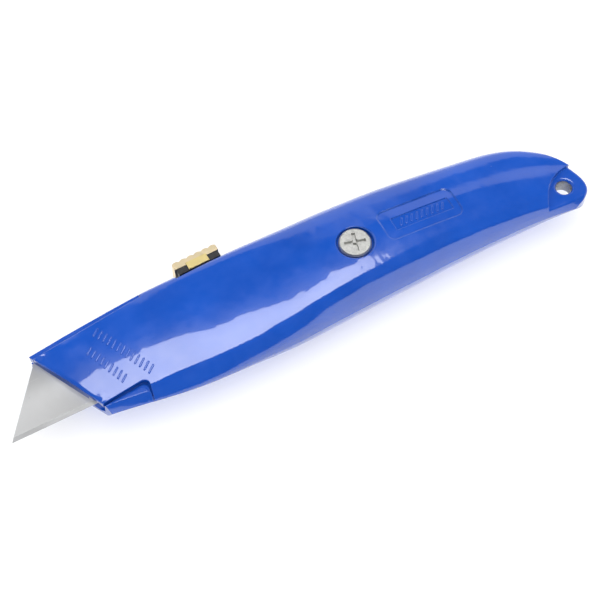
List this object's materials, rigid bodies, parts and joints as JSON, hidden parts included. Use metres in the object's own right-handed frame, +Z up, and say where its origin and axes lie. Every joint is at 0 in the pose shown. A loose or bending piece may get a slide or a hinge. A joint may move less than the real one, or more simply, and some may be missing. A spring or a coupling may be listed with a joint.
{
  "type": "retractable utility knife",
  "caption": "Retractable trapezoid-blade utility knife: two-half die-cast metal handle with centre screw, sliding thumb button, lanyard hole and spare blades stored inside.",
  "frame": {"origin": "where the casing screw's axis meets the flat on the lower half that the knife rests on", "axes": "+X from the nose toward the tail, +Y toward the thumb button, +Z up, out of the half that carries the screw head"},
  "size_m": [0.1697, 0.0358, 0.0189],
  "materials": {
    "blue_paint": "high-gloss royal blue enamel over a zinc casting",
    "blade_steel": "satin ground",
    "zinc_plate": "bright zinc plate",
    "spring_steel": "blued spring steel",
    "carrier_steel": "plain stamped steel",
    "black_plastic": "moulded, slightly glossy",
    "brass": "polished, lightly tarnished"
  },
  "bodies": {
    "handle": {"lower_casing_half": "blue_paint", "spare_blade_1": "blade_steel", "spare_blade_2": "blade_steel", "spare_blade_3": "blade_steel", "spare_blade_clip": "spring_steel", "clip_rivet": "zinc_plate"},
    "cover": {"upper_casing_half": "blue_paint"},
    "screw": {"casing_screw": "zinc_plate"},
    "carriage": {"blade_carrier": "carrier_steel", "blade": "blade_steel", "detent_spring": "spring_steel", "spring_rivets": "zinc_plate"},
    "button": {"button_core": "black_plastic", "button_cap": "brass"}
  },
  "joints": [
    {"name": "blade_slide", "type": "slide", "parent": "handle", "child": "carriage", "axis": [1, 0, 0], "range_m": [0, 0.028], "deforming": ["detent_spring"]},
    {"name": "button_press", "type": "slide", "parent": "carriage", "child": "button", "axis": [0, -1, 0], "range_m": [0, 0.00085], "stiffness_N_per_m": 2000, "deforming": ["detent_spring"]},
    {"name": "cover_lift", "type": "slide", "parent": "handle", "child": "cover", "axis": [0, 0, 1], "range_m": [0, 0.04]},
    {"name": "screw_withdraw", "type": "slide", "parent": "cover", "child": "screw", "axis": [0, 0, 1], "range_m": [0, 0.016]}
  ]
}
